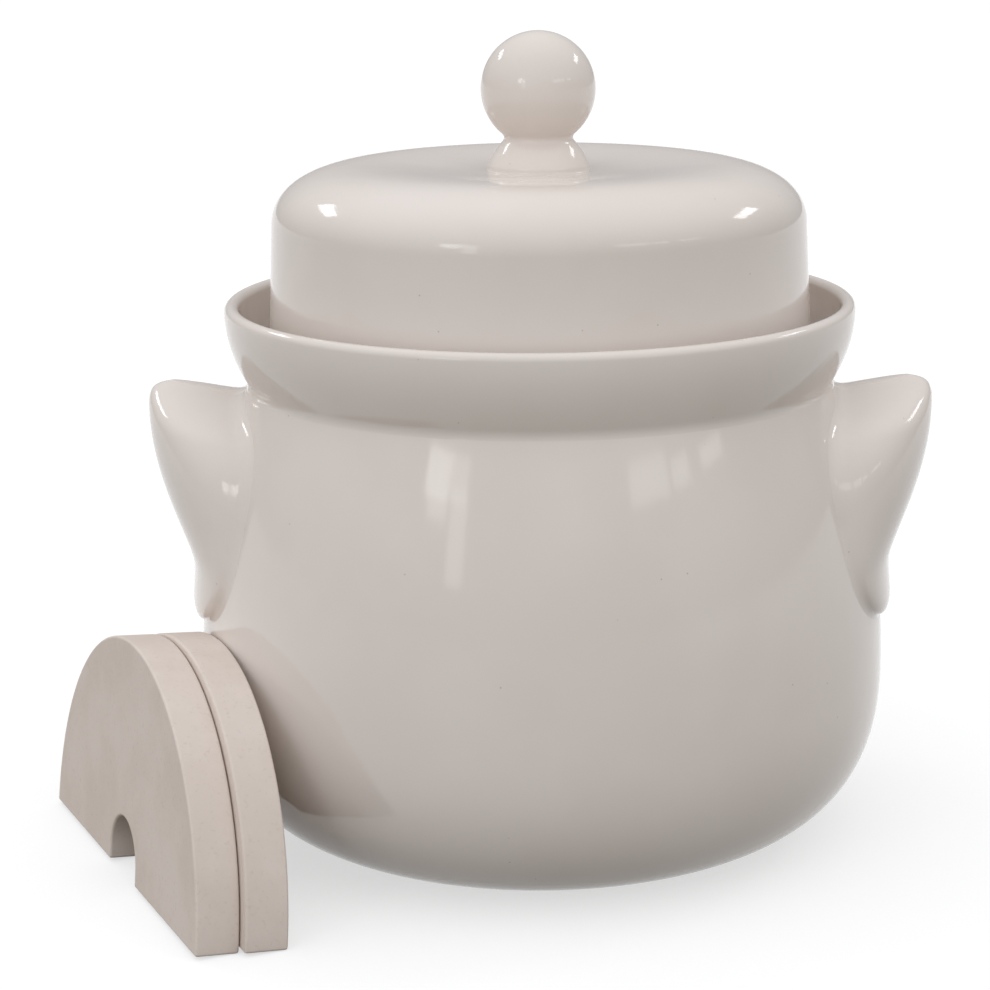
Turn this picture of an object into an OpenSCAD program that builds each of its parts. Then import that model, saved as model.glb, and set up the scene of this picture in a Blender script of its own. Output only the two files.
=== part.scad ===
// Water-seal fermentation crock: a thrown pot with a gutter ring round its collar, two wing-shaped
// lug handles, a round-shouldered lid with a ball knob, and two half-moon weights that lean on the belly.
// Millimetres, +Z up, origin on the pot's axis at the foot, handles along X.

/* [Pot] */
// Largest outside diameter of the belly
belly_d = 238.5; // [224:0.5:260]
// Height of the belly's widest place above the foot
belly_z = 62; // [52:1:72]
// Diameter of the flat foot
foot_d = 116; // [96:1:140]
// Squareness of the curve from the foot to the belly, where 2 is an ellipse
belly_curve = 2.5; // [2:0.05:2.8]
// Outside diameter at the shoulder, where the gutter starts
shoulder_d = 201; // [188:1:208]
// Height of the shoulder, which is also the floor of the water channel
shoulder_z = 160; // [150:1:175]
// Thickness of the side wall and the shoulder
pot_wall = 7; // [5:0.5:9]
// Thickness of the bottom
pot_floor = 9; // [6:0.5:12]
// Height of the round under the shoulder, inside the pot
shoulder_round = 14; // [8:1:20]

/* [Water channel] */
// Outside diameter of the gutter's rim
gutter_d = 216.4; // [210:0.2:226]
// Height of the gutter's rim above the shoulder
gutter_h = 27.4; // [22:0.2:34]
// Thickness of the gutter's wall
gutter_wall = 5; // [4:0.25:6.5]
// Height of the collar, the inner wall of the channel
collar_h = 29; // [22:1:36]
// Thickness of the collar
collar_wall = 7; // [5:0.5:9]
// Fillet between the channel's floor and the collar
channel_fillet = 2; // [1:0.25:2.5]

/* [Lid] */
// Height of the lid from its rim to the flat under the knob
lid_h = 70.9; // [62:0.1:84]
// Thickness of the lid
lid_wall = 6.5; // [5:0.25:8]
// How much the lid's side draws in up to its round shoulder
lid_taper = 2.4; // [0.5:0.1:2.7]
// Height of the lid's round shoulder
lid_round = 20; // [14:0.5:26]
// Width of the lid's round shoulder
lid_round_w = 31.5; // [24:0.5:40]
// Squareness of that shoulder, where 2 is an ellipse
lid_curve = 2.2; // [2:0.1:3]
// How far the lid's top sinks from its shoulder to the knob
lid_dish = 2.2; // [0.2:0.1:5]
// Rounding of the lid's rim
rim_round = 1.5; // [0.5:0.1:2]
// Number of gas notches in the lid's rim
vent_count = 2; // [1:1:4]
// Radius of a gas notch
vent_r = 3.5; // [2:0.1:4]

/* [Knob] */
// Diameter of the ball
ball_d = 39; // [34:0.2:46]
// Height of the knob above the lid's flat
knob_h = 46.9; // [42:0.1:54]
// Diameter of the stem at its neck, under the ball
stem_d = 22.6; // [18:0.2:28]
// Diameter of the stem's foot
stem_foot_d = 34.4; // [30:0.2:44]
// Height of the neck above the lid's flat
stem_h = 10.5; // [8:0.5:14]
// Thickness of the foot's edge
stem_edge = 1; // [0.6:0.1:2]

/* [Handles] */
// Width of a handle where it meets the pot
handle_w = 107; // [88:1:116]
// Height of a handle
handle_h = 78.5; // [72:0.5:92]
// How far the wing stands off the pot
handle_reach = 31.5; // [26:0.5:40]
// How far the tail under the wing stands off the pot
tail_reach = 3.5; // [3:0.5:8]
// Height of the tail
tail_h = 21.5; // [16:0.5:28]
// Height of the widest place above the handle's lower end
handle_mid = 33; // [28:0.5:42]
// Height of the rounded top corner of the wing
wing_corner = 5.5; // [4:0.5:14]
// Squareness of that corner, where 2 is an ellipse
corner_curve = 4; // [2:0.1:6]
// How gently the wing's underside runs into the tail, as a share of the wing's height
wing_blend = 0.08; // [0.02:0.02:0.3]
// Height of the rounded lower end of the tail
tail_round = 9; // [5:0.5:12]
// Squareness of the handle's outline above its widest place, where 2 is an ellipse
crown_curve = 2.6; // [1.8:0.1:3.4]
// Squareness of the handle's outline below its widest place
tail_curve = 3; // [2:0.1:4]
// Squareness of the wing seen from above, where 2 is an ellipse
wing_curve = 2.4; // [1.8:0.1:3]
// How far the wing's tip lies below the shoulder
handle_drop = 2; // [0.4:0.1:4]
// How far the wing's top dips from its tip to the pot
wing_dip = 8; // [0:0.5:10]

/* [Weights] */
// Diameter of the disc that the two weights make together
weight_d = 163; // [148:1:172]
// Thickness of a weight
weight_t = 14.5; // [12:0.5:18]
// Width of the finger notch in the straight edge
notch_w = 29; // [22:0.5:34]
// Depth of the finger notch
notch_depth = 19.5; // [17:0.5:26]
// Rounding of a weight's curved edges
weight_edge = 1.5; // [1:0.25:4]
// Width lost to the cut between the two halves
weight_kerf = 2; // [0.5:0.5:4]
// How far the weights lean from upright, in degrees
weight_lean = 5; // [2.5:0.5:14]
// Angle from the left handle round to the weights, in degrees
weight_bearing = 24.5; // [24:0.5:60]
// How far the front weight stands back along its straight edge
weight_back = 4; // [0:0.5:14]
// How far the rear weight stands ahead of the front one
weight_shift = 4; // [0:0.5:14]

/* [Fits] */
// Gap between the lid's rim and the gutter's wall at the channel's floor
lid_side_gap = 1.8; // [1:0.1:3]
// Gap between the lid's rim and the collar
collar_gap = 3; // [2.8:0.1:5]
// Gap under the lid's rim
lid_seat_gap = 0.3; // [0.1:0.1:1]
// Thickness of the luting between a handle and the pot
luting_gap = 0.1; // [0.08:0.01:0.3]
// Gap between the two weights
pair_gap = 0.4; // [0.3:0.1:1]
// Gap between the rear weight and the belly
lean_gap = 0.4; // [0.3:0.1:1]

/* [Hidden] */
$fn = 96;
glaze = "#cfc7bd";
bisque = "#cbb9a0";

// Steps along a curved outline
curve_steps = 22;
arc_steps = 8;
// Rings up a handle, and steps along its face and its back
handle_rings = 34;
face_steps = 22;
back_steps = 12;
// How far the outline of a handle's ends would run past its last ring
crest = 0.8;
toe = 0.3;
// Overlap of a cutting shape past the face that it cuts
cut = 1;

belly_r = belly_d / 2;
foot_r = foot_d / 2;
shoulder_r = shoulder_d / 2;
gutter_r = gutter_d / 2;
gutter_top = shoulder_z + gutter_h;
lid_r = shoulder_r - gutter_wall - lid_side_gap;
lid_low = shoulder_z + lid_seat_gap;
lid_top = lid_low + lid_h;
collar_r = lid_r - lid_wall - collar_gap;
mouth_r = collar_r - collar_wall;
collar_top = shoulder_z + collar_h;
seat_r = stem_foot_d / 2 + 1;
handle_top = shoulder_z - handle_drop;
handle_low = handle_top - handle_h;
widest_z = handle_low + handle_mid;
kink_z = handle_low + tail_h;
weight_r = weight_d / 2;
rear_shift = weight_shift - weight_back;

// Points of an arc about [x, y] from angle a0 to a1
function arc(x, y, r, a0, a1, steps = arc_steps) =
    [for (i = [0 : steps]) let (a = a0 + (a1 - a0) * i / steps) [x + r * cos(a), y + r * sin(a)]];

// Points in the opposite order
function reversed(points) = [for (i = [len(points) - 1 : -1 : 0]) points[i]];

// Outside radius of the pot at height z
function pot_r(z) = z < belly_z
    ? foot_r + (belly_r - foot_r) * pow(1 - pow((belly_z - z) / belly_z, belly_curve), 1 / belly_curve)
    : belly_r - (belly_r - shoulder_r) * pow((z - belly_z) / (shoulder_z - belly_z), 2);

// The bowl from its flat bottom at height low up to its side at the belly
function bowl(low, side) =
    [for (i = [0 : curve_steps]) let (t = 90 - 90 * i / curve_steps)
        [foot_r + (side - foot_r) * pow(cos(t), 2 / belly_curve),
         belly_z - (belly_z - low) * pow(sin(t), 2 / belly_curve)]];

// The flank above the belly up to height high, set in by a wall
function flank(high, wall) =
    [for (i = [1 : curve_steps]) let (z = belly_z + (high - belly_z) * i / curve_steps) [pot_r(z) - wall, z]];

// The flared side of the gutter, set in by a wall
function gutter_side(wall) =
    let (high = gutter_top - gutter_wall / 2)
    [for (i = [0 : curve_steps]) let (t = 90 * i / curve_steps)
        [shoulder_r + (gutter_r - shoulder_r) * pow(sin(t), 2) - wall, high - (high - shoulder_z) * cos(t)]];

// Pot with its shoulder and collar, turned in one piece
module crock_body() {
    round_low = shoulder_z - pot_wall - shoulder_round;
    round_r = pot_r(round_low) - pot_wall;
    lip = collar_wall / 2;
    outside = concat([[0, 0]], bowl(0, belly_r), flank(shoulder_z, 0));
    collar = concat(arc(collar_r + channel_fillet, shoulder_z + channel_fillet, channel_fillet, 270, 180),
                    arc(collar_r - lip, collar_top - lip, lip, 0, 180));
    under_shoulder = [for (p = arc(0, 0, 1, 90, 0))
        [mouth_r + (round_r - mouth_r) * p[0], round_low + shoulder_round * p[1]]];
    inside = concat(bowl(pot_floor, belly_r - pot_wall), flank(round_low, pot_wall));
    color(glaze)
        rotate_extrude()
            polygon(concat(outside, collar, under_shoulder, reversed(inside), [[0, pot_floor]]));
}

// Flared ring luted on the shoulder, the outer wall of the water channel
module water_gutter() {
    lip = gutter_wall / 2;
    color(glaze)
        rotate_extrude()
            polygon(concat(gutter_side(0),
                           arc(gutter_r - lip, gutter_top - lip, lip, 0, 180),
                           reversed(gutter_side(gutter_wall))));
}

// Half of a handle's width at height z
function handle_half(z) =
    let (above = z > widest_z,
         share = above ? (z - widest_z) / (handle_top - widest_z + crest) : (widest_z - z) / (handle_mid + toe),
         curve = above ? crown_curve : tail_curve)
    handle_w / 2 * pow(1 - pow(share, curve), 1 / curve);

// Share of the wing's reach at height z: next to none on the tail, all of it under the top corner
function wing_share(z) =
    let (rise = (z - kink_z) / (handle_top - wing_corner - kink_z),
         v = min(1, (rise + sqrt(rise * rise + wing_blend * wing_blend)) / 2))
    (v + sin(90 * v)) / 2;

// How far a handle stands off the pot at height z, with both ends rounded
function handle_off(z) =
    let (up = max(0, (z - handle_top + wing_corner) / (wing_corner + crest)),
         down = max(0, (handle_low + tail_round - z) / (tail_round + toe)))
    (tail_reach + (handle_reach - tail_reach) * wing_share(z))
        * pow(1 - pow(up, corner_curve), 1 / corner_curve) * sqrt(1 - pow(down, 2));

// One section of a handle: its face round the wing, then back along the pot. Towards the top the
// sections tip down from the wing to the pot.
function handle_ring(z) =
    let (dip = wing_dip * pow((z - handle_low) / handle_h, 4),
         r = pot_r(z - dip) + luting_gap,
         half = handle_half(z),
         root = sqrt(r * r - half * half),
         reach = r + handle_off(z) - root,
         spread = asin(half / r),
         outline = concat(
             [for (k = [0 : face_steps]) let (a = 180 * k / face_steps - 90)
                 [root + reach * pow(cos(a), 2 / wing_curve), half * sin(a)]],
             [for (k = [1 : back_steps - 1]) let (a = spread * (1 - 2 * k / back_steps))
                 [r * cos(a), r * sin(a)]]))
    [for (p = outline) [p[0], p[1], z - dip * (1 - (p[0] - root) / reach)]];

function handle_points() =
    [for (i = [0 : handle_rings])
        each handle_ring(handle_low + handle_h * (1 - cos(180 * i / handle_rings)) / 2)];

// Wing-shaped lug lofted up the flank, with its back following the pot
module handle() {
    count = face_steps + back_steps;
    sides = [for (i = [0 : handle_rings - 1], k = [0 : count - 1])
        let (low = i * count, next = (k + 1) % count)
        each [[low + k, low + count + k, low + count + next], [low + k, low + count + next, low + next]]];
    caps = [[for (k = [0 : count - 1]) k], [for (k = [count - 1 : -1 : 0]) handle_rings * count + k]];
    polyhedron(handle_points(), concat(sides, caps));
}

module left_handle() {
    color(glaze) mirror([1, 0, 0]) handle();
}

module right_handle() {
    color(glaze) handle();
}

// The lid's shoulder from its side up to its crest, set in by a wall
function lid_shoulder(wall) =
    let (r = lid_r - lid_taper - lid_round_w, z = lid_top + lid_dish - lid_round)
    [for (i = [0 : curve_steps]) let (t = 90 * i / curve_steps)
        [r + (lid_round_w - wall) * pow(cos(t), 2 / lid_curve), z + (lid_round - wall) * pow(sin(t), 2 / lid_curve)]];

// Lid with a round shoulder and a dished top, whose notched rim stands in the water channel
module lid() {
    crest_r = lid_r - lid_taper - lid_round_w;
    dish = [for (i = [1 : arc_steps]) let (s = 1 - i / arc_steps)
        [seat_r + (crest_r - seat_r) * s, lid_top + lid_dish * s * s * (3 - 2 * s)]];
    outside = concat(arc(lid_r - rim_round, lid_low + rim_round, rim_round, 270, 360), lid_shoulder(0), dish,
                     [[0, lid_top]]);
    inside = concat([[0, lid_top - lid_wall]],
                    [for (p = reversed(dish)) [p[0], p[1] - lid_wall]],
                    reversed(lid_shoulder(lid_wall)),
                    arc(lid_r - lid_wall + rim_round, lid_low + rim_round, rim_round, 180, 270));
    color(glaze)
        difference() {
            rotate_extrude() polygon(concat(outside, inside));
            for (i = [0 : vent_count - 1])
                rotate([0, 90, 90 + 360 * i / vent_count])
                    translate([-lid_low, 0, lid_r - lid_wall - cut])
                        cylinder(r = vent_r, h = lid_wall + 2 * cut);
        }
}

// Ball knob on a conical stem
module lid_knob() {
    neck_z = lid_top + stem_h;
    ball_z = lid_top + knob_h - ball_d / 2;
    foot = [[stem_foot_d / 2, lid_top], [stem_foot_d / 2, lid_top + stem_edge]];
    neck = [[stem_d / 2, neck_z], [stem_d / 2, ball_z]];
    color(glaze) {
        rotate_extrude()
            polygon(concat([[0, lid_top]], foot, neck, [[0, ball_z]]));
        translate([0, 0, ball_z]) sphere(d = ball_d);
    }
}

// Half disc with rounded rims and a finger notch, lying flat with its straight edge along X
module half_moon() {
    notch_r = notch_w / 2;
    difference() {
        intersection() {
            translate([0, -weight_kerf / 2, 0])
                rotate_extrude() {
                    square([weight_r - weight_edge, weight_t]);
                    translate([0, weight_edge]) square([weight_r, weight_t - 2 * weight_edge]);
                    for (y = [weight_edge, weight_t - weight_edge])
                        translate([weight_r - weight_edge, y]) circle(weight_edge);
                }
            translate([-weight_d, 0, -cut]) cube([2 * weight_d, weight_d, weight_t + 2 * cut]);
        }
        translate([-notch_r, -cut, -cut])
            cube([notch_w, notch_depth - notch_r + cut, weight_t + 2 * cut]);
        translate([0, notch_depth - notch_r, -cut]) cylinder(r = notch_r, h = weight_t + 2 * cut);
    }
}

// A point of the left handle, seen with the weights straight ahead along -X
function beside_weights(p) =
    [-p[0] * cos(weight_bearing) + p[1] * sin(weight_bearing),
     p[0] * sin(weight_bearing) + p[1] * cos(weight_bearing), p[2]];

// Whether the rear weight stands in front of a point
function weight_covers(p) =
    norm([p[1] + rear_shift, p[2] / cos(weight_lean)]) < weight_r + lean_gap;

// Distance from the axis to the lower back edge of a weight that leans on the belly, or on the
// handle where that comes first
function lean_reach() =
    let (belly = [for (z = [0 : 1 : weight_r]) pot_r(z) + z * tan(weight_lean)],
         handle = [for (q = handle_points()) let (p = beside_weights(q))
             if (weight_covers(p)) -p[0] + p[2] * tan(weight_lean)])
    max(concat(belly, handle)) + lean_gap;

// A half-moon on its straight edge, leaning towards the pot, with its lower back edge at this reach
module leaning_weight(reach, shift) {
    color(bisque)
        rotate([0, 0, weight_bearing])
            translate([-reach, -shift, 0])
                rotate([0, weight_lean, 0])
                    translate([-weight_t, 0, 0])
                        rotate([90, 0, 90])
                            half_moon();
}

module front_weight() {
    leaning_weight(lean_reach() + weight_t / cos(weight_lean) + pair_gap, -weight_back);
}

module rear_weight() {
    leaning_weight(lean_reach(), rear_shift);
}

crock_body();
water_gutter();
left_handle();
right_handle();
lid();
lid_knob();
front_weight();
rear_weight();
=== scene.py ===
"""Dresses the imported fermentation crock: glazed pot, gutter, handles, lid and knob, and clay stones."""

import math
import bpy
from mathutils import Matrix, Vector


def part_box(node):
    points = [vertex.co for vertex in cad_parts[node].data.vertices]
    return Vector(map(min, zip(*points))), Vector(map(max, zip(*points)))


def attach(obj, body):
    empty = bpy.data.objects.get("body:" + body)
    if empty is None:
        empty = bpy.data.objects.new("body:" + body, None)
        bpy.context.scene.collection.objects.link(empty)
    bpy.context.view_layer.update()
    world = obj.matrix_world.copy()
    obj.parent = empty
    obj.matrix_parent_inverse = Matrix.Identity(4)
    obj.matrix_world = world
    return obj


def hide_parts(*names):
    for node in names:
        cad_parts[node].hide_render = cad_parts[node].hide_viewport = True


bl_info = {
    "name": "Fermentation Crock",
    "version": (1, 0, 0),
    "blender": (4, 5, 0),
    "location": "View3D > Sidebar > Crock",
    "description": "Models, glazes and stages a water-seal crock with its lid and half-moon weight stones",
    "category": "Object",
}

import bmesh
import bpy
from bpy.props import FloatProperty, FloatVectorProperty, IntProperty, PointerProperty
from mathutils import Matrix, Vector

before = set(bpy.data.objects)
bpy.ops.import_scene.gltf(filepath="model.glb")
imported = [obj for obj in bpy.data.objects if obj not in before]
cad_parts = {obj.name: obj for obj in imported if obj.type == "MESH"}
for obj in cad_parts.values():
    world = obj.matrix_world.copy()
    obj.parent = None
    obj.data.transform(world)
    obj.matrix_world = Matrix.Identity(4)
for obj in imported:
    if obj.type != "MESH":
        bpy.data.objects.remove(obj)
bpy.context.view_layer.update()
MM = 0.001

# Faces round a turned piece. The lid has more, so that its small gas notches come out round.
POT_STEPS = 192
LID_STEPS = 384
KNOB_STEPS = 128
# An edge is shaded sharp where its faces turn by more than this.
SHARP_TURN = math.radians(50)
# A stone's edge is rounded where its faces turn by more than this.
CORNER_TURN = math.radians(40)

POT_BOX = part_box("crock_body")
GUTTER_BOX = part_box("water_gutter")
LID_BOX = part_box("lid")
KNOB_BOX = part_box("lid_knob")
HANDLE_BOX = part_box("right_handle")


def linear(code):
    """An sRGB hex colour as linear red, green and blue."""
    channels = [int(code[i:i + 2], 16) / 255 for i in (1, 3, 5)]
    return [c / 12.92 if c <= 0.04045 else ((c + 0.055) / 1.055) ** 2.4 for c in channels]


def length(name, description, default):
    """A size of the object, stored in metres."""
    return FloatProperty(name=name, description=description, default=default, min=0, precision=4,
                         unit="LENGTH")


def share(name, description, default, top=10):
    """A plain number without a unit."""
    return FloatProperty(name=name, description=description, default=default, min=0, max=top)


def turn(name, description, degrees):
    """An angle, stored in radians."""
    return FloatProperty(name=name, description=description, default=math.radians(degrees), subtype="ANGLE")


def tint(name, description, code):
    """A colour, stored as linear red, green and blue."""
    return FloatVectorProperty(name=name, description=description, default=linear(code), min=0, max=1,
                               size=3, subtype="COLOR")


class CrockPot(bpy.types.PropertyGroup):
    """Sizes of the thrown pot."""

    belly_radius: length("Belly radius", "Largest outside radius", POT_BOX[1].y)
    belly_height: length("Belly height", "Height of the widest place", 62 * MM)
    foot_radius: length("Foot radius", "Radius of the flat foot", 58 * MM)
    belly_curve: share("Belly curve", "Squareness of the bowl, where 2 is an ellipse", 2.5)
    shoulder_radius: length("Shoulder radius", "Outside radius under the gutter", 100.5 * MM)
    shoulder_height: length("Shoulder height", "Height of the water channel's floor", GUTTER_BOX[0].z)
    wall: length("Wall", "Thickness of the side", 7 * MM)
    floor: length("Floor", "Thickness of the bottom", 9 * MM)
    shoulder_round: length("Shoulder round", "Height of the round under the shoulder, inside", 14 * MM)
    collar_radius: length("Collar radius", "Outside radius of the collar", 84.2 * MM)
    collar_height: length("Collar height", "Height of the collar's lip", POT_BOX[1].z)
    collar_wall: length("Collar wall", "Thickness of the collar", 7 * MM)
    channel_fillet: length("Channel fillet", "Fillet between the channel's floor and the collar", 2 * MM)
    bare_height: length("Bare foot", "Height up to which the foot is wiped free of glaze", 0.5 * MM)


class CrockGutter(bpy.types.PropertyGroup):
    """Sizes of the ring round the water channel."""

    radius: length("Radius", "Outside radius of the rim", GUTTER_BOX[1].x)
    height: length("Height", "Height of the rim", GUTTER_BOX[1].z)
    wall: length("Wall", "Thickness of the ring", 5 * MM)
    lute: length("Lute", "Reach of the smoothed joint under the ring", 2 * MM)
    fillet: length("Fillet", "Fillet at the channel's floor", 1 * MM)


class CrockLid(bpy.types.PropertyGroup):
    """Sizes of the lid."""

    radius: length("Radius", "Outside radius of the rim", LID_BOX[1].x)
    low: length("Rim height", "Height of the rim's underside", LID_BOX[0].z)
    high: length("Top height", "Height of the top's crest", LID_BOX[1].z)
    wall: length("Wall", "Thickness of the lid", 6.5 * MM)
    taper: length("Taper", "How much the side draws in", 2.4 * MM)
    shoulder: length("Shoulder", "Height of the round shoulder", 20 * MM)
    shoulder_width: length("Shoulder width", "Width of the round shoulder", 31.5 * MM)
    shoulder_curve: share("Shoulder curve", "Squareness of the shoulder, where 2 is an ellipse", 2.2)
    dish: length("Dish", "How far the top sinks from its crest to the knob", LID_BOX[1].z - KNOB_BOX[0].z)
    rim_round: length("Rim round", "Rounding of the rim", 1.5 * MM)
    seat: length("Seat", "Radius of the flat under the knob", 18.2 * MM)
    notch: length("Gas notch", "Radius of the two notches in the rim", 3.5 * MM)
    bare_height: length("Bare rim", "Height of the rim that is wiped free of glaze", 0.7 * MM)


class CrockKnob(bpy.types.PropertyGroup):
    """Sizes of the ball knob."""

    ball_radius: length("Ball radius", "Radius of the ball", 19.5 * MM)
    high: length("Top height", "Height of the ball's top", KNOB_BOX[1].z)
    neck_radius: length("Neck radius", "Radius of the stem at its neck, under the ball", 11.3 * MM)
    foot_radius: length("Foot radius", "Radius of the stem's foot", 17.2 * MM)
    neck_round: length("Neck round", "Reach of the round between the stem and the ball", 1.6 * MM)
    foot_round: length("Foot round", "Height of the round at the foot's edge", 1.6 * MM)
    belly: length("Belly", "How far the stem's side draws in from the foot halfway up", 1.2 * MM)
    lute: length("Lute", "Reach of the smoothed joint round the foot", 0.6 * MM)


class CrockHandles(bpy.types.PropertyGroup):
    """Sizes of the wing handles."""

    width: length("Width", "Width where a handle meets the pot", HANDLE_BOX[1].y - HANDLE_BOX[0].y)
    low: length("Low", "Height of the lower end", HANDLE_BOX[0].z)
    high: length("High", "Height of the wing's tip", HANDLE_BOX[1].z + 1.2 * MM)
    reach: length("Reach", "How far the wing stands off the pot", 31.5 * MM)
    tail_reach: length("Tail reach", "How far the tail stands off the pot", 3.5 * MM)
    tail_height: length("Tail height", "Height of the tail", 21.5 * MM)
    widest: length("Widest", "Height of the widest place above the lower end", 33 * MM)
    corner: length("Corner", "Height of the wing's rounded top corner", 5.5 * MM)
    tail_round: length("Tail round", "Height of the rounded lower end", 9 * MM)
    crest: length("Crest", "How far the outline runs past the tip", 0.8 * MM)
    toe: length("Toe", "How far the outline runs past the lower end", 0.3 * MM)
    crown: length("Crown", "Height over which the wing's top is rounded off", 12 * MM)
    dip: length("Dip", "How far the wing's top dips to the pot", 5 * MM)
    lute: length("Lute", "Reach of the smoothed joint round a handle", 4.5 * MM)
    sink: length("Sink", "Depth of a handle's back in the pot's wall", 2.5 * MM)
    blend: share("Blend", "How gently the wing runs into the tail", 0.08)
    corner_curve: share("Corner curve", "Squareness of the wing's top corner", 4)
    crown_curve: share("Crown curve", "Squareness of the outline above its widest place", 2.6)
    tail_curve: share("Tail curve", "Squareness of the outline below its widest place", 3)
    wing_curve: share("Wing curve", "Squareness of the wing seen from above", 2)
    columns: IntProperty(name="Columns", description="Faces across a wing", default=56, min=8)
    rows: IntProperty(name="Rows", description="Faces up a wing", default=90, min=8)


class CrockStones(bpy.types.PropertyGroup):
    """Sizes and places of the weight stones."""

    radius: length("Radius", "Radius of the disc that the pair makes", 81.2 * MM)
    thickness: length("Thickness", "Thickness of a stone", 14.5 * MM)
    kerf: length("Kerf", "Width lost to the cut between the pair", 2 * MM)
    notch_width: length("Notch width", "Width of the finger notch", 29 * MM)
    notch_depth: length("Notch depth", "Depth of the finger notch", 19.5 * MM)
    edge: length("Edge", "Rounding of the edges", 0.9 * MM)
    lean: turn("Lean", "How far the stones lean from upright", 5)
    bearing: turn("Bearing", "Angle from the left handle round to the stones", 24.5)
    rear_reach: length("Rear reach", "Distance from the axis to the rear stone's lower back edge",
                       126.032 * MM)
    front_back: length("Front back", "How far the front stone stands behind the rear one", 4 * MM)
    gap: length("Gap", "Gap between the stones", 0.4 * MM)


class CrockFinish(bpy.types.PropertyGroup):
    """Colours of the glaze and the bare clay."""

    glaze: tint("Glaze", "The glaze where it lies at its usual thickness", "#e2d9d2")
    glaze_thin: tint("Thin glaze", "The glaze where it lies thin and the clay warms it", "#dfd5cd")
    speck: tint("Speck", "Iron specks in the glaze", "#96877a")
    clay: tint("Clay", "The bare fired clay", "#e1d5cc")
    clay_dark: tint("Dark clay", "The clay in its darker clouds", "#dacdc3")
    clay_pit: tint("Clay pit", "Grog and pits in the clay", "#c6b8ad")
    glaze_roughness: share("Glaze roughness", "How far the glaze blurs a reflection", 0.09, 1)
    clay_roughness: share("Clay roughness", "How matt the bare clay is", 0.88, 1)


class CrockStage(bpy.types.PropertyGroup):
    """The floor, the light and the camera."""

    floor: tint("Floor", "The floor as it shows", "#ffffff")
    floor_bounce: tint("Floor bounce", "The floor as it lights the object", "#716c61")
    floor_shade: share("Floor shade", "How strongly the floor takes the object's shadow", 0.42, 1)
    floor_glow: share("Floor glow", "How brightly the floor shows by itself", 0.62, 1)
    dim: tint("Dim side", "The room behind the object", "#a5a3a2")
    bright: tint("Bright side", "The room before the object and overhead", "#fafcff")
    bright_way: FloatVectorProperty(name="Bright way", description="Where the room's bright side lies",
                                    size=3, default=(-0.18, -0.47, 0.86), subtype="XYZ")
    room_strength: share("Room strength", "Strength of the room's light", 1.13)
    aim_height: length("Aim height", "Height at which the windows face the crock", 150 * MM)
    window_distance: length("Window distance", "Distance of the windows from the crock", 3)
    lens: FloatProperty(name="Lens", description="Focal length in millimetres", default=101.45,
                        unit="CAMERA")
    camera: FloatVectorProperty(name="Camera", description="Where the camera stands", size=3,
                                default=(0, -0.95, 0.3457), subtype="TRANSLATION", unit="LENGTH")
    pitch: turn("Pitch", "How far the camera looks down", 13.53)
    roll: turn("Roll", "How far the camera is tipped sideways", 0.43)
    shift: FloatProperty(name="Shift", description="Sideways shift of the picture", default=-46.2 / 990)


def add_node(tree, kind, settings, inputs):
    """Adds a node with its settings and inputs, and links an input that is given as a socket."""
    made = tree.nodes.new(kind)
    for name, value in settings.items():
        setattr(made, name, value)
    for name, value in inputs.items():
        if isinstance(value, bpy.types.NodeSocket):
            tree.links.new(value, made.inputs[name])
        else:
            made.inputs[name].default_value = value
    return made


def per_mm(size):
    """Texture scale at which one feature is this many millimetres across."""
    return 1 / (size * MM)


def colour(value):
    """A colour property with full alpha."""
    return (*value, 1)


def empty_material(name):
    """A new material with an empty node tree, or None where it was made before."""
    if name in bpy.data.materials:
        return None
    made = bpy.data.materials.new(name)
    made.use_nodes = True
    made.node_tree.nodes.clear()
    return made


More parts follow.
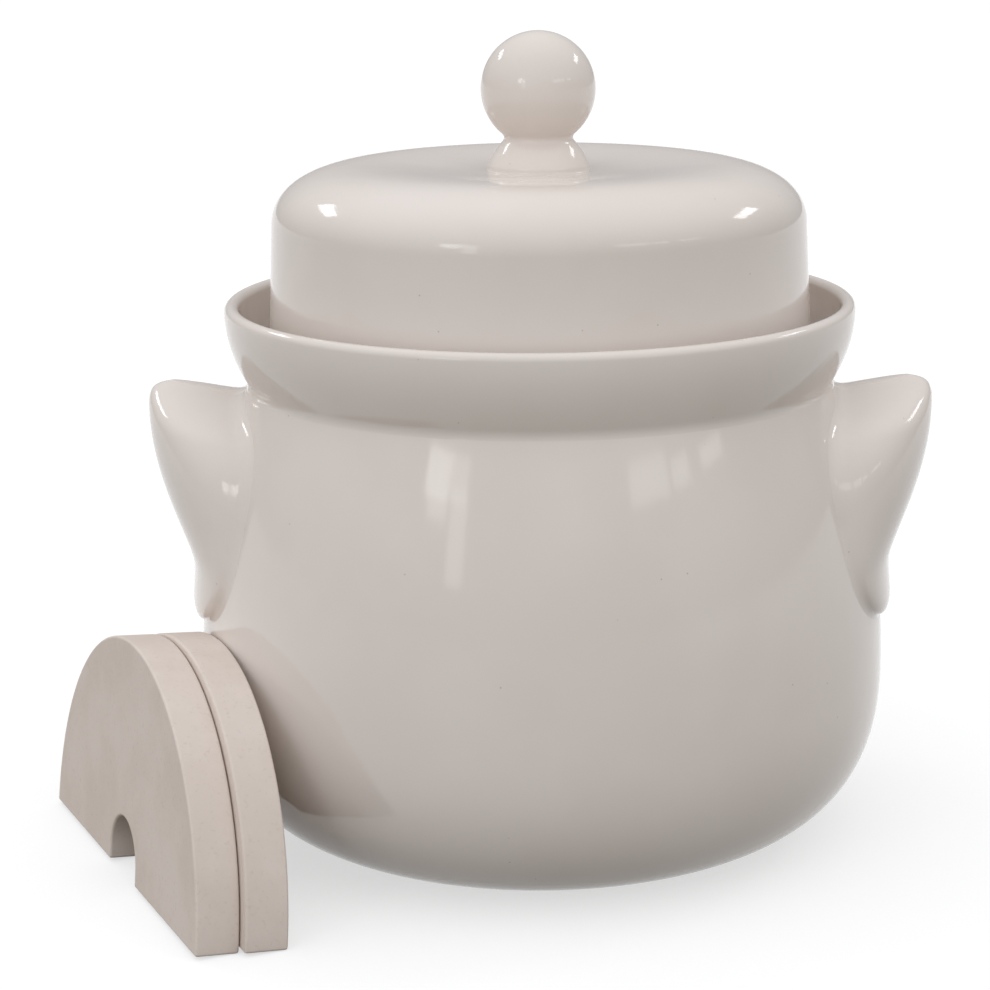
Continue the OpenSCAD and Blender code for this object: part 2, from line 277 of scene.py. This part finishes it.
def stoneware_glaze(finish):
    """White stoneware glaze, dipped and fired: a glassy coat whose surface rolls gently, so that
    reflections waver, with soft clouds of warmer colour where it ran thin and a few iron specks."""
    name = "stoneware_glaze"
    made = empty_material(name)
    if made is None:
        return bpy.data.materials[name]
    tree = made.node_tree
    place = add_node(tree, "ShaderNodeTexCoord", {}, {}).outputs["Object"]
    cloud = add_node(tree, "ShaderNodeTexNoise", {},
                     {"Vector": place, "Scale": per_mm(70), "Detail": 3, "Roughness": 0.55})
    clouded = add_node(tree, "ShaderNodeMapRange", {"interpolation_type": "SMOOTHSTEP"},
                       {"Value": cloud.outputs["Fac"], "From Min": 0.38, "From Max": 0.68})
    body = add_node(tree, "ShaderNodeMix", {"data_type": "RGBA"},
                    {0: clouded.outputs["Result"], 6: colour(finish.glaze), 7: colour(finish.glaze_thin)})
    # A speck is drawn at about 0.6 mm across, the least that still shows.
    grain = add_node(tree, "ShaderNodeTexVoronoi", {}, {"Vector": place, "Scale": per_mm(11)})
    speck = add_node(tree, "ShaderNodeMapRange", {"interpolation_type": "SMOOTHSTEP"},
                     {"Value": grain.outputs["Distance"], "From Min": 0.018, "From Max": 0.034,
                      "To Min": 0.45, "To Max": 0})
    specked = add_node(tree, "ShaderNodeMix", {"data_type": "RGBA"},
                       {0: speck.outputs["Result"], 6: body.outputs[2], 7: colour(finish.speck)})
    roll = add_node(tree, "ShaderNodeTexNoise", {},
                    {"Vector": place, "Scale": per_mm(38), "Detail": 1, "Roughness": 0.4})
    rolled = add_node(tree, "ShaderNodeBump", {},
                      {"Height": roll.outputs["Fac"], "Strength": 0.5, "Distance": 0.25 * MM})
    peel = add_node(tree, "ShaderNodeTexNoise", {},
                    {"Vector": place, "Scale": per_mm(5), "Detail": 1, "Roughness": 0.4})
    peeled = add_node(tree, "ShaderNodeBump", {},
                      {"Height": peel.outputs["Fac"], "Strength": 0.35, "Distance": 0.02 * MM,
                       "Normal": rolled.outputs["Normal"]})
    surface = add_node(tree, "ShaderNodeBsdfPrincipled", {},
                       {"Base Color": specked.outputs[2], "Roughness": finish.glaze_roughness, "IOR": 1.5,
                        "Normal": peeled.outputs["Normal"]})
    add_node(tree, "ShaderNodeOutputMaterial", {}, {"Surface": surface.outputs["BSDF"]})
    return made


def bare_clay(finish):
    """Unglazed fired clay, pressed and sponged: matt and warm, clouded, with grog and fine pits."""
    name = "bare_clay"
    made = empty_material(name)
    if made is None:
        return bpy.data.materials[name]
    tree = made.node_tree
    place = add_node(tree, "ShaderNodeTexCoord", {}, {}).outputs["Object"]
    cloud = add_node(tree, "ShaderNodeTexNoise", {},
                     {"Vector": place, "Scale": per_mm(34), "Detail": 4, "Roughness": 0.6})
    clouded = add_node(tree, "ShaderNodeMapRange", {"interpolation_type": "SMOOTHSTEP"},
                       {"Value": cloud.outputs["Fac"], "From Min": 0.36, "From Max": 0.66})
    body = add_node(tree, "ShaderNodeMix", {"data_type": "RGBA"},
                    {0: clouded.outputs["Result"], 6: colour(finish.clay), 7: colour(finish.clay_dark)})
    # Real grog is under half a millimetre: it is drawn at about twice that so that it shows.
    grog = add_node(tree, "ShaderNodeTexNoise", {},
                    {"Vector": place, "Scale": per_mm(1.7), "Detail": 2, "Roughness": 0.6})
    pit = add_node(tree, "ShaderNodeMapRange", {"interpolation_type": "SMOOTHSTEP"},
                   {"Value": grog.outputs["Fac"], "From Min": 0.56, "From Max": 0.74,
                    "To Min": 0, "To Max": 0.3})
    pitted = add_node(tree, "ShaderNodeMix", {"data_type": "RGBA"},
                      {0: pit.outputs["Result"], 6: body.outputs[2], 7: colour(finish.clay_pit)})
    grit = add_node(tree, "ShaderNodeTexNoise", {},
                    {"Vector": place, "Scale": per_mm(1.4), "Detail": 3, "Roughness": 0.6})
    gritted = add_node(tree, "ShaderNodeBump", {},
                       {"Height": grit.outputs["Fac"], "Strength": 0.5, "Distance": 0.12 * MM})
    sponge = add_node(tree, "ShaderNodeTexNoise", {},
                      {"Vector": place, "Scale": per_mm(16), "Detail": 2, "Roughness": 0.5})
    sponged = add_node(tree, "ShaderNodeBump", {},
                       {"Height": sponge.outputs["Fac"], "Strength": 0.4, "Distance": 0.25 * MM,
                        "Normal": gritted.outputs["Normal"]})
    surface = add_node(tree, "ShaderNodeBsdfPrincipled", {},
                       {"Base Color": pitted.outputs[2], "Roughness": finish.clay_roughness, "IOR": 1.45,
                        "Normal": sponged.outputs["Normal"]})
    add_node(tree, "ShaderNodeOutputMaterial", {}, {"Surface": surface.outputs["BSDF"]})
    return made


def stand_for(bm, name, body, nodes, materials):
    """Makes a finished mesh an object that rides on a body and stands for its CAD nodes."""
    mesh = bpy.data.meshes.new(name)
    bm.to_mesh(mesh)
    bm.free()
    for face in mesh.polygons:
        face.use_smooth = True
    mesh.set_sharp_from_angle(angle=SHARP_TURN)
    for material in materials:
        mesh.materials.append(material)
    piece = bpy.data.objects.new(name, mesh)
    bpy.context.scene.collection.objects.link(piece)
    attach(piece, body)
    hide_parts(*nodes)
    return piece


def arc(r, z, radius, start, end, steps=16):
    """Points of an arc about (r, z), in degrees."""
    angles = [math.radians(start + (end - start) * i / steps) for i in range(steps + 1)]
    return [(r + radius * math.cos(a), z + radius * math.sin(a)) for a in angles]


def bend(first, corner, last, steps=10):
    """Points of a curve that leaves first and reaches last along the sides of a corner."""
    points = []
    for i in range(steps + 1):
        t = i / steps
        points.append(tuple((1 - t) ** 2 * a + 2 * t * (1 - t) * b + t * t * c
                            for a, b, c in zip(first, corner, last)))
    return points


def line(first, last, steps):
    """Points of a straight stretch."""
    return [tuple(a + (b - a) * i / steps for a, b in zip(first, last)) for i in range(steps + 1)]


def turned(outline, steps):
    """Turns an outline of (radius, height) points about the Z axis, as on a wheel."""
    bm = bmesh.new()
    points = [bm.verts.new((r, 0, z)) for r, z in outline]
    edges = [bm.edges.new(pair) for pair in zip(points, points[1:])]
    bmesh.ops.spin(bm, geom=points + edges, axis=(0, 0, 1), cent=(0, 0, 0), angle=math.tau, steps=steps,
                   use_merge=True)
    bmesh.ops.remove_doubles(bm, verts=bm.verts, dist=0.002 * MM)
    bmesh.ops.recalc_face_normals(bm, faces=bm.faces)
    return bm


def pot_radius(pot, z):
    """Outside radius of the pot at a height."""
    if z < pot.belly_height:
        fall = max(0, (pot.belly_height - z) / pot.belly_height)
        swell = (1 - min(1, fall) ** pot.belly_curve) ** (1 / pot.belly_curve)
        return pot.foot_radius + (pot.belly_radius - pot.foot_radius) * swell
    rise = (z - pot.belly_height) / (pot.shoulder_height - pot.belly_height)
    return pot.belly_radius - (pot.belly_radius - pot.shoulder_radius) * rise ** 2


def bowl(pot, low, side, steps=72):
    """The curve from the flat bottom at a height up to the side at the belly."""
    points = []
    for i in range(steps + 1):
        t = math.pi / 2 * (1 - i / steps)
        out = max(0, math.cos(t)) ** (2 / pot.belly_curve)
        down = math.sin(t) ** (2 / pot.belly_curve)
        points.append((pot.foot_radius + (side - pot.foot_radius) * out,
                       pot.belly_height - (pot.belly_height - low) * down))
    return points


def flank(pot, high, wall, steps=40):
    """The side above the belly up to a height, set in by a wall."""
    heights = [pot.belly_height + (high - pot.belly_height) * i / steps for i in range(1, steps + 1)]
    return [(pot_radius(pot, z) - wall, z) for z in heights]


def wipe_bare(bm, low):
    """Gives the faces that lie below a height the second material, bare clay."""
    for face in bm.faces:
        if max(v.co.z for v in face.verts) < low:
            face.material_index = 1


class CROCK_OT_pot(bpy.types.Operator):
    """Turn the pot with its shoulder and collar"""

    bl_idname = "crock.pot"
    bl_label = "Pot"

    def execute(self, context):
        pot = context.scene.crock_pot
        finish = context.scene.crock_finish
        lip = pot.collar_wall / 2
        mouth = pot.collar_radius - pot.collar_wall
        round_low = pot.shoulder_height - pot.wall - pot.shoulder_round
        round_out = pot_radius(pot, round_low) - pot.wall
        outside = [(0, 0)] + bowl(pot, 0, pot.belly_radius) + flank(pot, pot.shoulder_height, 0)
        collar = arc(pot.collar_radius + pot.channel_fillet, pot.shoulder_height + pot.channel_fillet,
                     pot.channel_fillet, 270, 180) + arc(pot.collar_radius - lip, pot.collar_height - lip,
                                                         lip, 0, 180, 24)
        under = [(mouth + (round_out - mouth) * r, round_low + pot.shoulder_round * z)
                 for r, z in arc(0, 0, 1, 90, 0, 24)]
        inside = bowl(pot, pot.floor, pot.belly_radius - pot.wall) + flank(pot, round_low, pot.wall)
        bm = turned(outside + collar + under + inside[::-1] + [(0, pot.floor)], POT_STEPS)
        wipe_bare(bm, pot.bare_height)
        stand_for(bm, "glazed_pot", "crock", ["crock_body"],
                  [stoneware_glaze(finish), bare_clay(finish)])
        return {"FINISHED"}


class CROCK_OT_gutter(bpy.types.Operator):
    """Turn the flared ring of the water channel and smooth its joint with the shoulder"""

    bl_idname = "crock.gutter"
    bl_label = "Water gutter"

    def execute(self, context):
        pot = context.scene.crock_pot
        gutter = context.scene.crock_gutter
        lip = gutter.wall / 2
        low = pot.shoulder_height
        high = gutter.height - lip
        steps = 40
        side = []
        for i in range(steps + 1):
            t = math.pi / 2 * i / steps
            side.append((pot.shoulder_radius + (gutter.radius - pot.shoulder_radius) * math.sin(t) ** 2,
                         high - (high - low) * math.cos(t)))
        joined = [p for p in side if p[1] > low + gutter.lute]
        # The lute ends a hair under the pot's surface, and the ring's back lies deeper in its wall.
        neck = pot_radius(pot, low - gutter.lute)
        sunk = neck - lip
        foot = bend((neck - 0.05 * MM, low - gutter.lute), side[0], joined[0])
        inner = [(r - gutter.wall, z) for r, z in side[::-1] if z > low + gutter.fillet]
        inside = inner + arc(inner[-1][0] - gutter.fillet, low + gutter.fillet, gutter.fillet, 0, -90, 6)
        outline = [(sunk, low - gutter.lute)] + foot + joined[1:]
        outline += arc(gutter.radius - lip, high, lip, 0, 180, 24)[1:] + inside[1:]
        outline += [(sunk, low - gutter.fillet), (sunk, low - gutter.lute)]
        bm = turned(outline, POT_STEPS)
        stand_for(bm, "glazed_gutter", "crock", ["water_gutter"],
                  [stoneware_glaze(context.scene.crock_finish)])
        return {"FINISHED"}


# Of a wing's rows, this share lies on its face, and the rest close its top.
FACE_SHARE = 0.8
# Each row of the joint round a handle: its share of the lute's reach, and its depth in the pot's wall.
LUTE_ROWS = ((0.35, 0), (0.35, 0.05 * MM), (0.3, 0.5 * MM))
# The joint is smoothed over this many rings of vertices, this many times.
SOFT_RINGS = 3
SOFT_PASSES = 14


def wing_half(handles, z):
    """Half of a handle's width at a height."""
    middle = handles.low + handles.widest
    above = z > middle
    span = handles.high + handles.crest - middle if above else handles.widest + handles.toe
    curve = handles.crown_curve if above else handles.tail_curve
    part = min(1, abs(z - middle) / span)
    over = max(0, (z - handles.high + handles.crown) / (handles.crown + handles.crest))
    return handles.width / 2 * (1 - part ** curve) ** (1 / curve) * math.sqrt(1 - over ** 2)


def wing_off(handles, z):
    """How far a handle stands off the pot at a height."""
    kink = handles.low + handles.tail_height
    rise = (z - kink) / (handles.high - handles.corner - kink)
    rise = min(1, (rise + math.hypot(rise, handles.blend)) / 2)
    part = (rise + math.sin(math.pi / 2 * rise)) / 2
    up = max(0, (z - handles.high + handles.corner) / (handles.corner + handles.crest))
    down = max(0, (handles.low + handles.tail_round - z) / (handles.tail_round + handles.toe))
    top = max(0, 1 - up ** handles.corner_curve) ** (1 / handles.corner_curve)
    tail = math.sqrt(max(0, 1 - down ** 2))
    return (handles.tail_reach + (handles.reach - handles.tail_reach) * part) * top * tail


def wing_point(pot, handles, across, up):
    """A point of the right wing's face: across runs from -1 to 1, and up from the toe, 0, to the top, 1."""
    start = handles.low - handles.toe
    z = start + (handles.high - start) * (1 - math.cos(math.pi * up)) / 2
    dip = handles.dip * ((z - handles.low) / (handles.high - handles.low)) ** 4
    radius = pot_radius(pot, z - dip)
    half = wing_half(handles, z)
    root = math.sqrt(radius ** 2 - half ** 2)
    out = max(0, math.cos(math.pi / 2 * across)) ** (2 / handles.wing_curve)
    reach = radius + wing_off(handles, z) - root
    return Vector((root + reach * out, half * math.sin(math.pi / 2 * across), z - dip * (1 - out)))


def wing_top(pot, handles, across, inward):
    """A point of the wing's top: inward runs from its edge, 0, to the ridge along its middle, 1."""
    edge = wing_point(pot, handles, across, 1)
    swell = abs(math.sin(math.pi / 2 * across)) * math.sqrt(1 - (1 - inward) ** 2)
    return Vector((edge.x, edge.y * (1 - inward), edge.z + handles.crest * swell))


def on_pot(pot, co, depth):
    """The place under a point that lies this deep in the pot's wall."""
    radius = pot_radius(pot, co.z) - depth
    angle = math.atan2(co.y, co.x)
    return Vector((radius * math.cos(angle), radius * math.sin(angle), co.z))


def open_edges(bm):
    """The edges on the border of an open surface."""
    return [e for e in bm.edges if e.is_boundary]


def spread_border(bm, pot, centre, step, depth):
    """Grows a surface over the pot by one row of faces round its border, and returns the old border."""
    border = open_edges(bm)
    old = {v for e in border for v in e.verts}
    aims = {}
    for vert in old:
        ends = [e.other_vert(vert).co for e in vert.link_edges if e.is_boundary]
        normal = Vector((vert.co.x, vert.co.y, 0)).normalized()
        away = (ends[0] - ends[1]).cross(normal).normalized()
        if away.dot(vert.co - centre) < 0:
            away.negate()
        aims[vert.co.copy().freeze()] = on_pot(pot, vert.co + away * step, depth)
    grown = bmesh.ops.extrude_edge_only(bm, edges=border)
    for vert in (g for g in grown["geom"] if isinstance(g, bmesh.types.BMVert)):
        vert.co = aims[vert.co.copy().freeze()]
    return old


def wing_handle(pot, handles):
    """The right handle: its face, the smoothed joint round it and its back in the pot's wall."""
    bm = bmesh.new()
    bmesh.ops.create_grid(bm, x_segments=handles.columns, y_segments=handles.rows, size=1)
    for vert in bm.verts:
        across = vert.co.x
        up = (vert.co.y + 1) / 2
        if up <= FACE_SHARE:
            vert.co = wing_point(pot, handles, across, up / FACE_SHARE)
        else:
            vert.co = wing_top(pot, handles, across, (up - FACE_SHARE) / (1 - FACE_SHARE))
    bmesh.ops.remove_doubles(bm, verts=bm.verts, dist=0.05 * MM)
    middle = (handles.low + handles.high) / 2
    centre = Vector((pot_radius(pot, middle), 0, middle))
    borders = [spread_border(bm, pot, centre, handles.lute * part, depth) for part, depth in LUTE_ROWS]
    soft = borders[0]
    for ring in range(SOFT_RINGS):
        soft |= {e.other_vert(v) for v in soft for e in v.link_edges}
    rim = {v for e in open_edges(bm) for v in e.verts}
    for again in range(SOFT_PASSES):
        bmesh.ops.smooth_vert(bm, verts=list(soft - rim), factor=0.5, use_axis_x=True, use_axis_y=True,
                              use_axis_z=True)
    back = bmesh.ops.duplicate(bm, geom=bm.faces[:])["geom"]
    for vert in (g for g in back if isinstance(g, bmesh.types.BMVert)):
        vert.co = on_pot(pot, vert.co, handles.sink)
    bmesh.ops.reverse_faces(bm, faces=[g for g in back if isinstance(g, bmesh.types.BMFace)])
    bmesh.ops.bridge_loops(bm, edges=open_edges(bm))
    bmesh.ops.recalc_face_normals(bm, faces=bm.faces)
    return bm


class CROCK_OT_handles(bpy.types.Operator):
    """Model the wing handles and smooth their joints with the pot"""

    bl_idname = "crock.handles"
    bl_label = "Wing handles"

    def execute(self, context):
        pot = context.scene.crock_pot
        handles = context.scene.crock_handles
        glaze = stoneware_glaze(context.scene.crock_finish)
        bm = wing_handle(pot, handles)
        stand_for(bm, "glazed_right_handle", "crock", ["right_handle"], [glaze])
        bm = wing_handle(pot, handles)
        bmesh.ops.scale(bm, vec=(-1, 1, 1), verts=bm.verts)
        bmesh.ops.recalc_face_normals(bm, faces=bm.faces)
        stand_for(bm, "glazed_left_handle", "crock", ["left_handle"], [glaze])
        return {"FINISHED"}


def lid_shoulder(lid, wall, steps):
    """The lid's shoulder from its side up to its crest, set in by a wall."""
    centre_r = lid.radius - lid.taper - lid.shoulder_width
    centre_z = lid.high - lid.shoulder
    points = []
    for i in range(steps + 1):
        t = math.pi / 2 * i / steps
        out = max(0, math.cos(t)) ** (2 / lid.shoulder_curve)
        up = math.sin(t) ** (2 / lid.shoulder_curve)
        points.append((centre_r + (lid.shoulder_width - wall) * out, centre_z + (lid.shoulder - wall) * up))
    return points


class CROCK_OT_lid(bpy.types.Operator):
    """Turn the lid and cut its gas notches"""

    bl_idname = "crock.lid"
    bl_label = "Lid"

    def execute(self, context):
        lid = context.scene.crock_lid
        finish = context.scene.crock_finish
        rim_z = lid.low + lid.rim_round
        shoulder = lid_shoulder(lid, 0, 40)
        hollow = lid_shoulder(lid, lid.wall, 24)[::-1]
        rim = arc(lid.radius - lid.rim_round, rim_z, lid.rim_round, 270, 360, 6)
        inner_rim = arc(lid.radius - lid.wall + lid.rim_round, rim_z, lid.rim_round, 180, 270, 6)
        crest_r = shoulder[-1][0]
        seat_z = lid.high - lid.dish
        dish = [(lid.seat + (crest_r - lid.seat) * s, seat_z + lid.dish * s * s * (3 - 2 * s))
                for s in (1 - i / 16 for i in range(17))]
        outside = rim + line(rim[-1], shoulder[0], 10) + shoulder[1:] + dish + [(0, seat_z)]
        inside = [(0, seat_z - lid.wall)] + [(r, z - lid.wall) for r, z in dish[::-1]] + hollow
        inside += line(hollow[-1], inner_rim[0], 10) + inner_rim[1:]
        outline = outside + inside
        bm = turned(outline + outline[:1], LID_STEPS)
        for vert in bm.verts:
            reach = lid.notch ** 2 - vert.co.x ** 2
            if reach > 0:
                vert.co.z = max(vert.co.z, lid.low + math.sqrt(reach))
        wipe_bare(bm, lid.low + lid.bare_height)
        stand_for(bm, "glazed_lid", "lid", ["lid"], [stoneware_glaze(finish), bare_clay(finish)])
        return {"FINISHED"}


class CROCK_OT_knob(bpy.types.Operator):
    """Turn the ball knob with its conical stem"""

    bl_idname = "crock.knob"
    bl_label = "Lid knob"

    def execute(self, context):
        lid = context.scene.crock_lid
        knob = context.scene.crock_knob
        low = lid.high - lid.dish
        ball = knob.high - knob.ball_radius
        under = ball - math.sqrt(knob.ball_radius ** 2 - knob.neck_radius ** 2)
        leave = math.degrees(math.asin((under - ball) / knob.ball_radius))
        ease = math.degrees(knob.neck_round / knob.ball_radius)
        sphere = arc(0, ball, knob.ball_radius, leave + ease, 90, 64)
        edge = (knob.foot_radius, low + knob.foot_round)
        waist = (knob.neck_radius + knob.neck_round / 2, under - knob.neck_round)
        foot = bend((knob.foot_radius + knob.lute, low), (knob.foot_radius, low), edge)
        side = bend(edge, (knob.foot_radius - knob.belly, (edge[1] + waist[1]) / 2), waist, 16)
        neck = bend(waist, (knob.neck_radius, under), sphere[0])
        bm = turned([(0, low)] + foot + side[1:] + neck[1:] + sphere[1:], KNOB_STEPS)
        stand_for(bm, "glazed_knob", "lid", ["lid_knob"],
                  [stoneware_glaze(context.scene.crock_finish)])
        return {"FINISHED"}


def half_moon(stones):
    """A half disc with a finger notch and rounded edges, standing on its straight edge across Y."""
    bm = bmesh.new()
    notch = stones.notch_width / 2
    rise = stones.notch_depth - notch
    half = math.sqrt(stones.radius ** 2 - (stones.kerf / 2) ** 2)
    start = math.atan2(stones.kerf / 2, half)
    rim = bm.verts.new((0, half, 0))
    bmesh.ops.spin(bm, geom=[rim], axis=(1, 0, 0), cent=(0, 0, -stones.kerf / 2), angle=math.pi - 2 * start,
                   steps=96)
    bay = bm.verts.new((0, notch, rise))
    bmesh.ops.spin(bm, geom=[bay], axis=(1, 0, 0), cent=(0, 0, rise), angle=math.pi, steps=32)
    bmesh.ops.remove_doubles(bm, verts=bm.verts, dist=0.01 * MM)
    for way in (1, -1):
        low = bm.verts.new((0, way * notch, 0))
        tip = min(bm.verts, key=lambda v: (v.co - Vector((0, way * half, 0))).length)
        top = min(bm.verts, key=lambda v: (v.co - Vector((0, way * notch, rise))).length)
        bm.edges.new((tip, low))
        bm.edges.new((low, top))
    face = bmesh.ops.contextual_create(bm, geom=bm.edges[:])["faces"]
    slab = bmesh.ops.extrude_face_region(bm, geom=face)["geom"]
    bmesh.ops.translate(bm, vec=(-stones.thickness, 0, 0),
                        verts=[g for g in slab if isinstance(g, bmesh.types.BMVert)])
    bmesh.ops.recalc_face_normals(bm, faces=bm.faces)
    sharp = [e for e in bm.edges if e.calc_face_angle() > CORNER_TURN]
    bmesh.ops.bevel(bm, geom=sharp, offset=stones.edge, offset_type="OFFSET", segments=4, profile=0.5,
                    affect="EDGES", material=-1, clamp_overlap=True)
    return bm


class CROCK_OT_stones(bpy.types.Operator):
    """Cut the pair of half-moon weight stones and lean them on the pot"""

    bl_idname = "crock.stones"
    bl_label = "Weight stones"

    def execute(self, context):
        stones = context.scene.crock_stones
        clay = bare_clay(context.scene.crock_finish)
        step = stones.thickness / math.cos(stones.lean) + stones.gap
        places = {"rear": (stones.rear_reach, 0), "front": (stones.rear_reach + step, stones.front_back)}
        for side, (reach, back) in places.items():
            bm = half_moon(stones)
            place = Matrix.Rotation(stones.bearing, 4, "Z") @ Matrix.Translation((-reach, back, 0))
            bmesh.ops.transform(bm, matrix=place @ Matrix.Rotation(stones.lean, 4, "Y"), verts=bm.verts)
            stone = stand_for(bm, "clay_%s_weight" % side, "%s_weight" % side,
                              ["%s_weight" % side], [clay])
            # Flat faces keep their own normals beside the rounded edges.
            stone.modifiers.new("flat_faces", "WEIGHTED_NORMAL").keep_sharp = True
        return {"FINISHED"}


def lamp(name, place, aim, size, strength):
    """A soft rectangular light whose face shows at this strength in a reflection."""
    data = bpy.data.lights.new(name, "AREA")
    data.shape = "RECTANGLE"
    data.size, data.size_y = size
    data.energy = strength * math.pi * size[0] * size[1]
    made = bpy.data.objects.new(name, data)
    made.location = place
    made.rotation_euler = (aim - place).to_track_quat("-Z", "Y").to_euler()
    bpy.context.scene.collection.objects.link(made)


def around(bearing, elevation, distance):
    """A way out from the crock: bearing 0 is the camera's side, and right of it is positive."""
    b = math.radians(bearing)
    e = math.radians(elevation)
    return distance * Vector((math.sin(b) * math.cos(e), -math.cos(b) * math.cos(e), math.sin(e)))


class CROCK_OT_stage(bpy.types.Operator):
    """Set the floor, the room, the lights and the camera"""

    bl_idname = "crock.stage"
    bl_label = "Stage"

    def execute(self, context):
        scene = context.scene
        stage = scene.crock_stage
        self.floor(stage)
        self.room(scene, stage)
        aim = Vector((0, 0, stage.aim_height))
        # For each pane: bearing and elevation in degrees, width and height in metres, and strength.
        panes = {
            "left_window": ((-38, 21.3), (0.45, 0.37), 3.6),
            "left_window_foot": ((-37, 16.6), (0.36, 0.19), 2),
            "left_shutter": ((-30, 21.3), (0.34, 0.37), 1.7),
            "left_shutter_foot": ((-29, 12.7), (0.3, 0.7), 1.6),
            "right_window": ((39.7, 19.9), (0.74, 0.34), 1.5),
            "right_shutter": ((52.5, 19.1), (0.35, 0.21), 1.7),
            "right_corner": ((66.7, 18.9), (0.52, 0.14), 2),
            "left_skylight": ((-130, 34), (0.9, 0.3), 6),
            "right_skylight": ((119, 34), (0.9, 0.3), 6),
        }
        for name, ((bearing, elevation), size, strength) in panes.items():
            lamp(name, aim + around(bearing, elevation, stage.window_distance), aim, size, strength)
        data = bpy.data.cameras.new("photo_camera")
        data.lens = stage.lens
        data.shift_x = stage.shift
        camera = bpy.data.objects.new("photo_camera", data)
        camera.location = stage.camera
        tipped = Matrix.Rotation(math.pi / 2 - stage.pitch, 3, "X") @ Matrix.Rotation(-stage.roll, 3, "Z")
        camera.rotation_euler = tipped.to_euler()
        scene.collection.objects.link(camera)
        scene.camera = camera
        scene.view_settings.view_transform = "Standard"
        return {"FINISHED"}

    def floor(self, stage):
        """A wide pale floor that shows white and lights the object from below like a tabletop."""
        bm = bmesh.new()
        bmesh.ops.create_grid(bm, x_segments=1, y_segments=1, size=15)
        mesh = bpy.data.meshes.new("floor")
        bm.to_mesh(mesh)
        bm.free()
        floor = bpy.data.objects.new("floor", mesh)
        bpy.context.scene.collection.objects.link(floor)
        made = empty_material("pale_floor")
        tree = made.node_tree
        path = add_node(tree, "ShaderNodeLightPath", {}, {}).outputs
        direct = add_node(tree, "ShaderNodeMath", {"operation": "MAXIMUM"},
                          {0: path["Is Camera Ray"], 1: path["Is Glossy Ray"]})
        seen = add_node(tree, "ShaderNodeMath", {"operation": "MAXIMUM"},
                        {0: direct.outputs["Value"], 1: path["Is Transmission Ray"]})
        bounce = add_node(tree, "ShaderNodeBsdfDiffuse", {}, {"Color": colour(stage.floor_bounce)})
        shaded = add_node(tree, "ShaderNodeBsdfDiffuse", {}, {"Color": colour([stage.floor_shade] * 3)})
        glow = add_node(tree, "ShaderNodeEmission", {},
                        {"Color": colour(stage.floor), "Strength": stage.floor_glow})
        white = add_node(tree, "ShaderNodeAddShader", {},
                         {0: shaded.outputs["BSDF"], 1: glow.outputs["Emission"]})
        mixed = add_node(tree, "ShaderNodeMixShader", {},
                         {0: seen.outputs["Value"], 1: bounce.outputs["BSDF"], 2: white.outputs["Shader"]})
        add_node(tree, "ShaderNodeOutputMaterial", {}, {"Surface": mixed.outputs["Shader"]})
        mesh.materials.append(made)

    def room(self, scene, stage):
        """An even room, lighter before the object and overhead."""
        world = bpy.data.worlds.new("room")
        world.use_nodes = True
        tree = world.node_tree
        tree.nodes.clear()
        way = add_node(tree, "ShaderNodeTexCoord", {}, {}).outputs["Generated"]
        towards = add_node(tree, "ShaderNodeVectorMath", {"operation": "DOT_PRODUCT"},
                           {0: way, 1: stage.bright_way})
        nearness = add_node(tree, "ShaderNodeMapRange", {"interpolation_type": "SMOOTHSTEP"},
                            {"Value": towards.outputs["Value"], "From Min": -0.6, "From Max": 1})
        shade = add_node(tree, "ShaderNodeMix", {"data_type": "RGBA"},
                         {0: nearness.outputs["Result"], 6: colour(stage.dim), 7: colour(stage.bright)})
        sky = add_node(tree, "ShaderNodeBackground", {},
                       {"Color": shade.outputs[2], "Strength": stage.room_strength})
        add_node(tree, "ShaderNodeOutputWorld", {}, {"Surface": sky.outputs["Background"]})
        scene.world = world


class CROCK_PT_panel(bpy.types.Panel):
    """Lists the crock's pieces and the stage"""

    bl_label = "Crock"
    bl_idname = "CROCK_PT_panel"
    bl_space_type = "VIEW_3D"
    bl_region_type = "UI"
    bl_category = "Crock"

    def draw(self, context):
        for operator in OPERATORS:
            self.layout.operator(operator.bl_idname)
        for name in GROUPS:
            box = self.layout.box()
            box.label(text=name.replace("_", " ").capitalize())
            group = getattr(context.scene, name)
            for field in group.bl_rna.properties:
                if field.identifier not in ("rna_type", "name"):
                    box.prop(group, field.identifier)


GROUPS = {
    "crock_pot": CrockPot,
    "crock_gutter": CrockGutter,
    "crock_lid": CrockLid,
    "crock_knob": CrockKnob,
    "crock_handles": CrockHandles,
    "crock_stones": CrockStones,
    "crock_finish": CrockFinish,
    "crock_stage": CrockStage,
}
OPERATORS = (CROCK_OT_pot, CROCK_OT_gutter, CROCK_OT_handles, CROCK_OT_lid, CROCK_OT_knob, CROCK_OT_stones,
             CROCK_OT_stage)


def register():
    """Registers the sizes, the operators and the panel."""
    for name, group in GROUPS.items():
        bpy.utils.register_class(group)
        setattr(bpy.types.Scene, name, PointerProperty(type=group))
    for operator in OPERATORS:
        bpy.utils.register_class(operator)
    bpy.utils.register_class(CROCK_PT_panel)


def unregister():
    """Removes the panel, the operators and the sizes."""
    bpy.utils.unregister_class(CROCK_PT_panel)
    for operator in reversed(OPERATORS):
        bpy.utils.unregister_class(operator)
    for name, group in reversed(GROUPS.items()):
        delattr(bpy.types.Scene, name)
        bpy.utils.unregister_class(group)


def main():
    """Dresses and stages the crock."""
    register()
    bpy.ops.crock.pot()
    bpy.ops.crock.gutter()
    bpy.ops.crock.handles()
    bpy.ops.crock.lid()
    bpy.ops.crock.knob()
    bpy.ops.crock.stones()
    bpy.ops.crock.stage()


if __name__ == "__main__":
    main()
